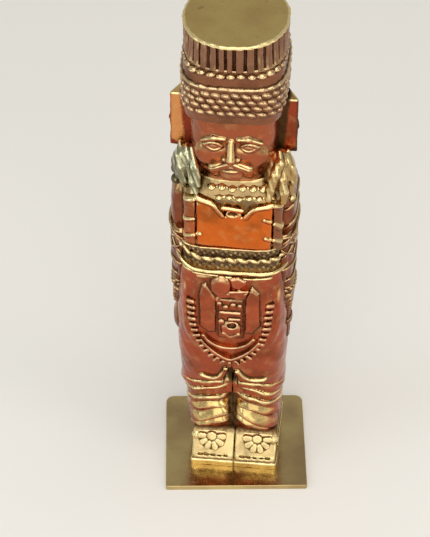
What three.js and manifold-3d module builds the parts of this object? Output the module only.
// A standing warrior figure in cast brass on a sheet-brass plate: a fluted crown over a band of scales,
// ear panels, a chest plate with stepped wings, a corded belt, a fringed apron, wrapped legs and sandals.
// The hollow cast sections stack up from the plate; the ornaments are separate castings seated on them.
// Millimetres, +Z up. The figure looks along -Y, so its own left is at +X.
// The origin is the middle of the plate's underside.
import * as THREE from "three";
import { mergeVertices } from "three/addons/utils/BufferGeometryUtils.js";
import Module from "manifold-3d";

// ---------- Driving dimensions ----------
const PLATE = { width: 60, depth: 55, thickness: 2.2, rearRadius: 3.6, frontRadius: 0.7 };
const HEIGHT = 223.5; // plate's underside to the top of the crown
const FIGURE = { x: -0.8, y: 2, twistDeg: -6.5 }; // how the figure stands on the plate
const WALL = 3.5; // the hollow sections
const GAP = 0.3; // solder gap under a seated ornament
const CAP_THICKNESS = 1.2;
// The parts were not set quite over one another: how far these lie to the figure's left.
const LEGS_X = 0.5;
const FEET_X = 1.7;
const CHEST_X = 1;

// Where one stacked section ends and the next begins.
const Z = {
  sole: PLATE.thickness,
  ankle: 17,
  hem: 50,
  waist: 113,
  neck: 156,
  brow: 187.2,
  cornice: 206,
  flutes: 213,
  cap: HEIGHT - CAP_THICKNESS,
};

// Half width, half depth and squareness of the column at each height: 2 is an ellipse, 6 nearly a rectangle.
const BODY = [
  { z: Z.hem, w: 21.6, d: 16.8, n: 3 },
  { z: 66, w: 22.6, d: 18.6, n: 3.6 },
  { z: 85, w: 22.6, d: 19.6, n: 4.2 },
  { z: Z.waist, w: 20.8, d: 19.4, n: 5 },
  { z: 128, w: 20.0, d: 19.2, n: 5 },
  { z: 149.6, w: 20.0, d: 19.2, n: 4.6 },
  { z: Z.neck, w: 16.4, d: 14.2, n: 3 },
];
const HEAD = [
  { z: Z.neck, w: 13.6, d: 14.0, n: 2.5 },
  { z: 160.5, w: 15.4, d: 17.4, n: 2.6 },
  { z: 165, w: 16.6, d: 18.2, n: 2.8 },
  { z: 178, w: 17.2, d: 18.8, n: 3 },
  { z: Z.brow, w: 17.2, d: 18.8, n: 3 },
];
const HEADDRESS = [
  { z: Z.brow, w: 19.4, d: 20.6, n: 4.4 },
  { z: 193, w: 20.2, d: 21.8, n: 4.2 },
  { z: Z.cornice, w: 20.4, d: 22.2, n: 3.2 },
  { z: Z.flutes, w: 20.0, d: 21.8, n: 2.5 },
  { z: HEIGHT, w: 20.6, d: 22.4, n: 2.1 },
];
// Each arm hangs flat against the body: x is the middle of its section, for the left arm.
const ARM = [
  { z: 86, w: 3.4, d: 5.6, n: 2.4, x: 20.4, y: -3.4 },
  { z: 91, w: 4.8, d: 8.0, n: 2.6, x: 20.4, y: -3.6 },
  { z: 97, w: 4.4, d: 7.8, n: 2.6, x: 20.4, y: -3.2 },
  { z: 101, w: 4.0, d: 8.0, n: 2.8, x: 20.4, y: -2.8 },
  { z: 112, w: 4.4, d: 10.0, n: 3, x: 20.4, y: -2.2 },
  { z: 124, w: 4.4, d: 10.4, n: 3, x: 20.4, y: -1.6 },
  { z: 140, w: 4.6, d: 11.2, n: 3, x: 20.2, y: -1 },
  { z: 147, w: 4.4, d: 10.8, n: 2.8, x: 20.0, y: -0.6 },
  { z: 152.5, w: 2.6, d: 7.0, n: 2.4, x: 19.4, y: 0 },
];
const LEG = [
  { z: Z.ankle, w: 9.1, d: 12.6, n: 2.7, x: 9.5, y: 2.2 },
  { z: 24, w: 9.4, d: 13.4, n: 2.7, x: 9.8, y: 1.4 },
  { z: 40, w: 10.2, d: 15.0, n: 2.8, x: 10.6, y: 0.8 },
  { z: Z.hem, w: 10.5, d: 15.8, n: 2.8, x: 10.9, y: 0.5 },
];

const wasm = await Module();
wasm.setup();

// ---------- Solids ----------

/** A closed three.js geometry as a solid that can be joined and cut. */
function solid(geometry) {
  const bare = geometry.clone();
  bare.deleteAttribute("normal");
  bare.deleteAttribute("uv");
  const merged = mergeVertices(bare, 1e-4);
  const triVerts = new Uint32Array(merged.index.array);
  const vertProperties = merged.attributes.position.array;
  return new wasm.Manifold(new wasm.Mesh({ numProp: 3, vertProperties, triVerts }));
}

/** A solid as a three.js geometry. */
function geometryOf(piece) {
  const { vertProperties, triVerts } = piece.getMesh();
  const geometry = new THREE.BufferGeometry();
  geometry.setAttribute("position", new THREE.BufferAttribute(vertProperties, 3));
  geometry.setIndex(new THREE.BufferAttribute(triVerts, 1));
  geometry.computeVertexNormals();
  return geometry;
}

/** A point at angle t on a squared ellipse. */
function onSection({ w, d, n, x = 0, y = 0 }, t, grow = 0) {
  const c = Math.cos(t);
  const s = Math.sin(t);
  return [
    x + (w + grow) * Math.sign(c) * Math.abs(c) ** (2 / n),
    y + (d + grow) * Math.sign(s) * Math.abs(s) ** (2 / n),
  ];
}

/** The section at height z, from the levels above and below it. */
function levelAt(levels, z) {
  const found = levels.findIndex((level) => level.z >= z);
  const upper = found < 0 ? levels.length - 1 : Math.max(1, found);
  const [a, b] = [levels[upper - 1], levels[upper]];
  const share = (z - a.z) / (b.z - a.z);
  const mix = (key, unset) => {
    const start = a[key] ?? unset;
    return start + ((b[key] ?? unset) - start) * share;
  };
  return { z, w: mix("w"), d: mix("d"), n: mix("n"), x: mix("x", 0), y: mix("y", 0) };
}

/** The levels from one height to another, with one at each end. */
function between(levels, low, high) {
  const inside = levels.filter((level) => level.z > low + 0.01 && level.z < high - 0.01);
  return [levelAt(levels, low), ...inside, levelAt(levels, high)];
}

/** A capped column through the levels' sections, grown outwards by grow. side -1 mirrors it in X. */
function column(levels, { grow = 0, sides = 36, side = 1 } = {}) {
  const rows = [levels[0], ...levels, levels.at(-1)];
  const radii = rows.map((_, i) => (i === 0 || i === rows.length - 1 ? 0 : 1));
  const profile = rows.map((level, i) => new THREE.Vector2(radii[i], level.z));
  const geometry = new THREE.LatheGeometry(profile, sides).rotateX(Math.PI / 2);
  const position = geometry.attributes.position;
  for (let i = 0; i < position.count; i++) {
    const level = rows[i % rows.length];
    const turn = (2 * Math.PI * Math.floor(i / rows.length)) / sides;
    const rim = onSection(level, turn, grow + (level.grow ?? 0));
    const [x, y] = radii[i % rows.length] === 0 ? [level.x ?? 0, level.y ?? 0] : rim;
    position.setXYZ(i, x, y, level.z);
  }
  const made = solid(geometry);
  return side === 1 ? made : made.mirror([1, 0, 0]);
}

/** The column between two heights: solid, an open tube if wall is given, or closed below by any floor. */
function section(levels, low, high, { wall = 0, floor = 0, sides = 36 } = {}) {
  const outer = column(between(levels, low, high), { sides });
  if (!wall) return outer;
  const bore = between(levels, floor ? low + floor : low - 1, high + 1);
  return outer.subtract(column(bore, { grow: -wall, sides }));
}

/** A collar round a column, from one offset to another and between two heights. */
function ring(levels, low, high, inner, outer) {
  const bore = column(between(levels, low - 1, high + 1), { grow: inner });
  return column(between(levels, low, high), { grow: outer }).subtract(bore);
}

/** A tube whose outside swells by the amounts given at each height, as pairs of z and growth. */
function moulded(levels, swells, wall, sides = 36) {
  const outer = swells.map(([z, grow]) => ({ ...levelAt(levels, z), grow }));
  const bore = between(levels, outer[0].z - 1, outer.at(-1).z + 1);
  return column(outer, { sides }).subtract(column(bore, { grow: -wall, sides }));
}

/** An outline drawn on the XZ plane, pushed through the front half of the figure, or the back half. */
function prism(shape, back = false) {
  const REACH = 45;
  const geometry = new THREE.ExtrudeGeometry(shape, { depth: REACH, bevelEnabled: false });
  geometry.rotateX(Math.PI / 2);
  return solid(back ? geometry.rotateZ(Math.PI) : geometry);
}

/** A plate of that outline, lying on the column between two offsets from its surface. */
function plate(levels, shape, inner, outer, { back = false } = {}) {
  const heights = shape.getPoints().map((point) => point.y);
  const shell = ring(levels, Math.min(...heights) - 1, Math.max(...heights) + 1, inner, outer);
  return shell.intersect(prism(shape, back));
}

// ---------- Outlines, in X and Z ----------

function polygon(points) {
  return new THREE.Shape(points.map(([x, z]) => new THREE.Vector2(x, z)));
}

function roundedRect(x0, z0, x1, z1, r) {
  const shape = new THREE.Shape();
  shape.moveTo(x0 + r, z0);
  shape.lineTo(x1 - r, z0);
  shape.absarc(x1 - r, z0 + r, r, -Math.PI / 2, 0);
  shape.lineTo(x1, z1 - r);
  shape.absarc(x1 - r, z1 - r, r, 0, Math.PI / 2);
  shape.lineTo(x0 + r, z1);
  shape.absarc(x0 + r, z1 - r, r, Math.PI / 2, Math.PI);
  shape.lineTo(x0, z0 + r);
  shape.absarc(x0 + r, z0 + r, r, Math.PI, 1.5 * Math.PI);
  return polygon(shape.getPoints(3).map((p) => [p.x, p.y]));
}

/** A band between two ellipses round one centre, from one angle to another, in degrees. */
function ellipseBand(cx, cz, [innerX, innerZ], [outerX, outerZ], from, to, steps = 20) {
  const arc = (rx, rz, a, b) =>
    Array.from({ length: steps + 1 }, (_, i) => {
      const t = THREE.MathUtils.degToRad(a + ((b - a) * i) / steps);
      return [cx + rx * Math.cos(t), cz + rz * Math.sin(t)];
    });
  return polygon([...arc(outerX, outerZ, from, to), ...arc(innerX, innerZ, to, from)]);
}

function rectangle(x0, z0, x1, z1) {
  return polygon([[x0, z0], [x1, z0], [x1, z1], [x0, z1]]);
}

function mirrored(points, side) {
  return points.map(([x, z]) => [x * side, z]);
}

// ---------- Materials ----------

function brass(name, color, roughness) {
  return new THREE.MeshStandardMaterial({ name, color, roughness, metalness: 1 });
}
const CAST_BRASS = brass("cast_brass", 0xb98b4e, 0.28);
const SHEET_BRASS = brass("sheet_brass", 0xa08a55, 0.34);
const STEEL = brass("steel", 0x8c8c90, 0.4);

const SIDES = { left: 1, right: -1 };
const figure = new THREE.Group();
figure.position.set(FIGURE.x, FIGURE.y, 0);
figure.rotation.z = THREE.MathUtils.degToRad(FIGURE.twistDeg);

function add(name, piece, material = CAST_BRASS, parent = figure) {
  const mesh = new THREE.Mesh(geometryOf(piece), material);
  mesh.name = name;
  parent.add(mesh);
}

// ---------- Plate and screws ----------

const SCREW = { shankRadius: 1.5, headRadius: 2.8, headHeight: 1.6, length: 11, x: 9.2, y: 1, slot: 0.8 };

function plateOutline() {
  const { width, depth, rearRadius, frontRadius } = PLATE;
  const shape = new THREE.Shape();
  const corner = (sx, sy, r, start) =>
    shape.absarc(sx * (width / 2 - r), sy * (depth / 2 - r), r, start, start + Math.PI / 2);
  corner(1, -1, frontRadius, -Math.PI / 2);
  corner(1, 1, rearRadius, 0);
  corner(-1, 1, rearRadius, Math.PI / 2);
  corner(-1, -1, frontRadius, Math.PI);
  return shape;
}

/** The screw's profile turned about Z, with its countersunk head at the bottom and grown by clearance. */
function screwBody(clearance = 0) {
  const head = SCREW.headRadius + clearance;
  const shank = SCREW.shankRadius + clearance;
  const top = SCREW.length + clearance;
  const profile = [[0, 0], [head, 0], [shank, SCREW.headHeight], [shank, top], [0, top]];
  const points = profile.map(([r, z]) => new THREE.Vector2(r, z));
  return solid(new THREE.LatheGeometry(points, 20).rotateX(Math.PI / 2));
}

/** Where a screw stands on the plate, under the middle of that foot. */
function screwPlace(side) {
  const place = new THREE.Vector3(side * SCREW.x + FEET_X, SCREW.y, 0).applyEuler(figure.rotation);
  return place.add(figure.position);
}

function basePlate() {
  const options = { depth: PLATE.thickness, bevelEnabled: false, curveSegments: 5 };
  let made = solid(new THREE.ExtrudeGeometry(plateOutline(), options));
  for (const side of Object.values(SIDES)) {
    const { x, y } = screwPlace(side);
    made = made.subtract(screwBody(GAP).translate([x, y, 0]));
  }
  return made;
}

function baseScrew() {
  const slot = new THREE.BoxGeometry(2 * SCREW.headRadius + 1, SCREW.slot, 1.2).rotateZ(0.7);
  return screwBody().subtract(solid(slot));
}

// ---------- Feet and legs ----------

/** The foot's side view, from the toes at -Y to the heel, drawn as Y and Z. */
const FOOT_SIDE = [[-18.4, Z.sole], [-18.8, 6.4], [-17.4, 8.6], [-15.6, 9.2], [-9.6, Z.ankle],
  [15.2, Z.ankle], [16.8, 12], [17.2, Z.sole]];
const FOOT = { inner: 0.2, outer: 18.1 };

function footBlock(side, grow = 0) {
  const shape = polygon(FOOT_SIDE.map(([y, z]) => [y - Math.sign(-y) * grow, z + (z > Z.sole ? grow : 0)]));
  const width = FOOT.outer - FOOT.inner + 2 * grow;
  const geometry = new THREE.ExtrudeGeometry(shape, { depth: width, bevelEnabled: false });
  geometry.rotateX(Math.PI / 2).rotateZ(Math.PI / 2).translate(FOOT.inner - grow, 0, 0);
  const made = solid(geometry);
  return side === 1 ? made : made.mirror([1, 0, 0]);
}

/** A bare foot: the block, less the screw's hole, with the toes parted by grooves. */
function foot(side) {
  const hole = screwBody(GAP).translate([side * SCREW.x, SCREW.y, 0]);
  let made = footBlock(side).subtract(hole);
  const pitch = (FOOT.outer - FOOT.inner) / 5;
  for (let toe = 1; toe < 5; toe++) {
    const groove = new THREE.CylinderGeometry(0.5, 0.5, 6, 6).rotateX(Math.PI / 2.6);
    groove.translate(side * (FOOT.inner + pitch * toe), -18.6, 6.8);
    made = made.subtract(solid(groove));
  }
  return made;
}

/** The strap over the instep, an oval wide enough for the rosette chased on it. */
function sandalStrap(side) {
  const across = (FOOT.inner + FOOT.outer) / 2;
  const oval = new THREE.CylinderGeometry(7.4, 7.4, 60, 24).scale(1, 1, 0.62);
  oval.translate(side * across, 0, 12.6);
  const instep = new THREE.BoxGeometry(60, 12, 7).translate(0, -15.4, 13.2);
  const over = footBlock(side, 1.1).subtract(footBlock(side, GAP));
  return over.intersect(solid(oval)).intersect(solid(instep));
}

/** The wrapped lower leg: a column that swells and narrows with the folds of cloth. */
function leg(side) {
  const FOLDS = 7;
  const rise = (Z.hem - Z.ankle) / (2 * FOLDS);
  const levels = Array.from({ length: 2 * FOLDS + 1 }, (_, i) => ({
    ...levelAt(LEG, Z.ankle + rise * i),
    grow: i % 2 ? 0.3 : -0.3,
  }));
  return column(levels, { side, sides: 24 });
}

// ---------- Apron ----------

const APRON = { z: 88.5, fringeOuter: [18.3, 20.5], fringeInner: [14.2, 17.4] };

function apronOutline() {
  const [rx, rz] = APRON.fringeOuter;
  const lower = Array.from({ length: 25 }, (_, i) => {
    const t = Math.PI + (Math.PI * i) / 24;
    return [rx * Math.cos(t), APRON.z + rz * Math.sin(t)];
  });
  return polygon([...lower, [rx, 104], [15, 111.8], [-15, 111.8], [-rx, 104]]);
}

/** The fringe: a U of short bars set square to the apron's edge, on a thin backing. */
function apronFringe() {
  const BARS = 25;
  const { z, fringeInner, fringeOuter } = APRON;
  const shell = ring(BODY, 66, 106, 1.5, 2.6);
  let made = plate(BODY, ellipseBand(0, z, fringeInner, fringeOuter, 172, 368, 28), 1.3, 1.8);
  for (let i = 0; i < BARS; i++) {
    const t = THREE.MathUtils.degToRad(174 + (192 * i) / (BARS - 1));
    const place = ([rx, rz]) => [rx * Math.cos(t), z + rz * Math.sin(t)];
    const [inner, outer] = [place(fringeInner), place(fringeOuter)];
    const lean = Math.atan2(outer[1] - inner[1], outer[0] - inner[0]);
    const bar = new THREE.BoxGeometry(3.8, 40, 1.3).rotateY(-lean);
    bar.translate((inner[0] + outer[0]) / 2, -20, (inner[1] + outer[1]) / 2);
    made = made.add(shell.intersect(solid(bar)));
  }
  return made;
}

const SASH_TAIL = [[5.2, 82.4], [12.4, 84], [12.6, 104.5], [9.4, 109.4], [6.6, 108], [5.2, 103.4]];

/** The middle pendant: a tablet with studs, two bars and a boss in a crescent. */
function sashPendant() {
  let made = plate(BODY, roundedRect(-4.7, 79, 4.7, 101, 1.6), 1.4, 2.3);
  const raised = (shape) => plate(BODY, shape, 1.9, 3.3);
  for (const x of [-2.8, 0, 2.8]) made = made.add(raised(rectangle(x - 0.8, 98, x + 0.8, 99.6)));
  for (const z of [91, 94.6]) made = made.add(raised(rectangle(-3.9, z, 3.9, z + 1.5)));
  made = made.add(raised(rectangle(-1.1, 85.3, 1.1, 87.5)));
  return made.add(raised(ellipseBand(0, 86.4, [2.4, 3.1], [3.9, 5.2], 160, 380, 12)));
}

// ---------- Chest, neck and arms ----------

const PECTORAL = [[-15, 127.2], [15, 127.2], [15, 149.6], [11.6, 149.4], [8.4, 147.8], [4.3, 143.5],
  [-4.3, 143.5], [-8.4, 147.8], [-11.6, 149.4], [-15, 149.6]];
const WING_STEPS = [[127.2, 133], [133.6, 141.2], [141.8, 149.8]];

/** A row of round beads along the front of the neck, on a cord that joins them. */
function beadRow(z, count, radius, pitch) {
  const reach = (pitch * (count - 1)) / 2 + 1;
  const cord = plate(BODY, rectangle(CHEST_X - reach, z - 0.5, CHEST_X + reach, z + 0.5), GAP, 1.4);
  let made = cord;
  for (let i = 0; i < count; i++) {
    const x = CHEST_X + (i - (count - 1) / 2) * pitch;
    const y = -frontAt(BODY, x, z) - 1.35 * radius - 0.25; // clear of the sloping collar
    const bead = new THREE.SphereGeometry(radius, 6, 4).translate(x, y, z);
    made = made.add(solid(bead));
  }
  return made;
}

/** How far the column's front stands from the middle plane at x and z. */
function frontAt(levels, x, z) {
  const { w, d, n } = levelAt(levels, z);
  return d * (1 - Math.abs(x / w) ** n) ** (1 / n);
}

function armPiece(side, low, high, grow = 0) {
  const belt = column(between(BODY, Z.waist - 0.2, 127.2), { grow: 2.4 });
  const arm = column(between(ARM, low, high), { side, grow, sides: 20 });
  return arm.subtract(column(BODY, { grow: GAP })).subtract(belt);
}

/** The bundle or pouch that hangs from a fist. */
function heldPiece(side, low, high, halfWidth, halfDepth) {
  const levels = [
    { z: low, w: halfWidth * 0.8, d: halfDepth * 0.85, n: 3, x: 21.2, y: -4 },
    { z: low + 3, w: halfWidth, d: halfDepth, n: 3, x: 21.2, y: -4 },
    { z: high, w: halfWidth * 0.9, d: halfDepth * 0.8, n: 3, x: 21, y: -4 },
  ];
  return column(levels, { side, sides: 20 }).subtract(column(BODY, { grow: GAP }));
}

// ---------- Head ----------

const SCALE_SWELL = 0.7; // how far the scales of the headband stand out
const EAR_PANEL = { low: 164.6, high: 189.2, front: -5, outer: 25, thin: 1.2, thick: 4, back: 3.4 };

/** The head: a smooth face with a straight nose, level brows, closed lips and a moustache. */
function head() {
  const nose = new THREE.ConeGeometry(3.4, 11, 4).rotateY(Math.PI / 4).scale(0.8, 1, 0.9);
  nose.rotateX(Math.PI / 2).translate(0, -18.6, 173.6);
  const lips = new THREE.SphereGeometry(3.4, 10, 6).scale(1, 0.5, 0.45).translate(0, -17.9, 165);
  const parts = [nose, lips];
  for (const side of [1, -1]) {
    parts.push(new THREE.SphereGeometry(3.2, 8, 6).scale(1, 0.5, 0.36).rotateY(side * 0.3)
      .translate(side * 2.9, -18.2, 167.4));
    parts.push(new THREE.SphereGeometry(3.2, 8, 6).scale(1, 0.45, 0.5).translate(side * 6.7, -17.6, 175.4));
    parts.push(new THREE.BoxGeometry(8.6, 2, 1.2).translate(side * 6.6, -18, 178.6));
  }
  const made = section(HEAD, Z.neck, Z.brow, { wall: WALL });
  const bore = column(HEAD, { grow: -WALL });
  return parts.reduce((joined, part) => joined.add(solid(part).subtract(bore)), made);
}

/** The ear ornament: a flat panel that faces forward, its back cut away towards the head. */
function earPanel(side) {
  const { low, high, front, outer, thin, thick, back } = EAR_PANEL;
  const cutAway = [[outer, front + thin], [outer - thick, back]];
  const plan = polygon([[12, front], [outer, front], ...cutAway, [12, back]]);
  const geometry = new THREE.ExtrudeGeometry(plan, { depth: high - low, bevelEnabled: false });
  const made = solid(geometry.translate(0, 0, low));
  const block = side === 1 ? made : made.mirror([1, 0, 0]);
  return block.subtract(column(HEAD, { grow: GAP })).subtract(column(HEADDRESS, { grow: SCALE_SWELL + GAP }));
}

/** The locks that fall from behind the ear to the shoulder and chest. */
function hairFall(side) {
  const levels = [
    { z: 150.2, w: 5.4, d: 6.4, n: 2.8, x: 18.2, y: -11 },
    { z: 155, w: 5.8, d: 6.8, n: 2.8, x: 18.6, y: -9.4 },
    { z: 164.2, w: 4.6, d: 4.8, n: 2.6, x: 19.2, y: -5.4 },
  ];
  const shoulder = column(between(ARM, 140, 153), { grow: GAP + 0.2, side });
  const clear = [column(BODY, { grow: GAP }), column(HEAD, { grow: GAP }), shoulder];
  return clear.reduce((made, near) => made.subtract(near), column(levels, { side, sides: 24 }));
}

// ---------- Headdress ----------

/** Rows of overlapping scales, as bevelled hoops round a hollow section. */
function scaleBand() {
  const ROWS = 5;
  const pitch = (Z.cornice - Z.brow - 0.8) / ROWS;
  const hoop = [[0.3, -0.6], [0.7, SCALE_SWELL], [pitch - 0.9, SCALE_SWELL], [pitch, -0.6]];
  const rows = Array.from({ length: ROWS }, (_, row) => hoop.slice(1)
    .map(([z, grow]) => [Z.brow + 0.3 + row * pitch + z, grow]));
  return moulded(HEADDRESS, [[Z.brow, -0.6], ...rows.flat(), [Z.cornice, -0.6]], WALL);
}

function beadRing() {
  const BEADS = 34;
  let made = ring(HEADDRESS, Z.cornice, Z.flutes, -WALL, -0.4);
  for (let i = 0; i < BEADS; i++) {
    const [x, y] = onSection({ w: 20.2, d: 21.6, n: 2.6 }, (2 * Math.PI * i) / BEADS, 0);
    made = made.add(solid(new THREE.SphereGeometry(1.7, 6, 4).translate(x, y, 211)));
  }
  return made.subtract(column(HEADDRESS, { grow: -WALL }));
}

/** The crown of upright feathers: a drum with round flutes. */
function crown() {
  const FLUTES = 34;
  let made = section(HEADDRESS, Z.flutes, Z.cap, { wall: WALL, sides: 68 });
  for (let i = 0; i < FLUTES; i++) {
    const t = (2 * Math.PI * (i + 0.5)) / FLUTES;
    const [x, y] = onSection({ w: 20.7, d: 22.4, n: 2.3 }, t, 0);
    const groove = new THREE.CylinderGeometry(0.7, 0.7, 8, 5).rotateX(Math.PI / 2).translate(x, y, 217.6);
    made = made.subtract(solid(groove));
  }
  return made;
}

// ---------- Back ----------

function backPanel() {
  const outline = polygon([[-15, 129.6], [15, 129.6], [15.6, 150], [14, 155.8], [-14, 155.8], [-15.6, 150]]);
  return plate(BODY, outline, GAP, 2.2, { back: true });
}

function backDisc() {
  const disc = new THREE.Shape().absarc(0, 97, 13.4, 0, 2 * Math.PI);
  return plate(BODY, polygon(disc.getPoints(28).map((p) => [p.x, p.y])), GAP, 2.6, { back: true });
}

function backHair() {
  const outline = roundedRect(-12, 157, 12, 186.8, 2);
  return plate(HEAD, outline, GAP, 2.4, { back: true });
}

// ---------- Assembly ----------

const group = new THREE.Group();
group.add(figure);
add("base_plate", basePlate(), SHEET_BRASS, group);
for (const [name, side] of Object.entries(SIDES)) {
  const { x, y } = screwPlace(side);
  add(`base_screw_${name}`, baseScrew().translate([x, y, 0]), STEEL, group);
  add(`${name}_foot`, foot(side).translate([FEET_X, 0, 0]));
  add(`${name}_sandal_strap`, sandalStrap(side).translate([FEET_X, 0, 0]));
  add(`${name}_leg`, leg(side).translate([LEGS_X, 0, 0]));
  add(`sash_tail_${name}`, plate(BODY, polygon(mirrored(SASH_TAIL, side)), 1.4, 2.5));
  add(`${name}_upper_arm`, armPiece(side, 129.6, 152.5));
  add(`${name}_armlet`, armPiece(side, 124.6, 129.6, 0.5));
  add(`${name}_forearm`, armPiece(side, 100, 124.6));
  add(`${name}_bracelet`, armPiece(side, 97, 100, 0.6));
  add(`${name}_hand`, armPiece(side, 86, 97));
  add(`${name}_ear_panel`, earPanel(side));
  add(`${name}_hair_fall`, hairFall(side));
  WING_STEPS.forEach(([low, high], i) => {
    const edges = [side * 15.5 + CHEST_X, side * (19.1 - side * 0.4) + CHEST_X].sort((a, b) => a - b);
    const made = plate(BODY, rectangle(edges[0], low, edges[1], high), GAP, 2.4);
    add(`pectoral_${name}_wing_${i + 1}`, made);
  });
}
add("right_pouch", heldPiece(-1, 70.4, 85.8, 3.4, 6.6));
add("left_dart_bundle", heldPiece(1, 68, 85.8, 2.6, 4.6));
add("kilt", section(BODY, Z.hem, Z.waist, { wall: WALL, floor: 4 }));
add("apron", plate(BODY, apronOutline(), GAP, 1.1));
add("apron_fringe", apronFringe());
add("sash_knot_left", plate(BODY, roundedRect(0.4, 103, 8, 112.4, 2), 2.8, 4));
add("sash_knot_right", plate(BODY, roundedRect(-9.2, 102, -0.2, 112.6, 3.6), 2.8, 4));
add("sash_pendant", sashPendant());
add("apron_ridge_outer", plate(BODY, ellipseBand(0, APRON.z, [12.4, 15.6], [13.8, 17], 200, 340), 1.4, 2.4));
add("apron_ridge_inner", plate(BODY, ellipseBand(0, APRON.z, [9.8, 10.6], [11.4, 12.2], 205, 335), 2.8, 3.8));
add("torso", section(BODY, Z.waist, Z.neck, { wall: WALL }));
add("belt_lower_rim", ring(BODY, 113.2, 115, GAP, 1.9));
add("belt_cord", ring(BODY, 118.8, 122.4, GAP, 1.9));
add("belt_upper_rim", ring(BODY, 125.2, 126.8, GAP, 1.6));
add("pectoral", plate(BODY, polygon(PECTORAL.map(([x, z]) => [x + CHEST_X, z])), GAP, 2.2));
add("necklace_lower", beadRow(151.2, 5, 1.3, 3.8));
add("necklace_upper", beadRow(154.6, 6, 1.4, 3.9));
add("necklace_pendant", plate(BODY, roundedRect(CHEST_X - 3.8, 144.2, CHEST_X + 3.8, 148.4, 0.8), GAP, 2.4));
add("head", head());
add("headband", scaleBand());
add("headband_bead_ring", beadRing());
add("crown", crown());
add("crown_cap", section(HEADDRESS, Z.cap, HEIGHT));
add("back_hair", backHair());
add("back_panel", backPanel());
add("back_disc", backDisc());

export default group;
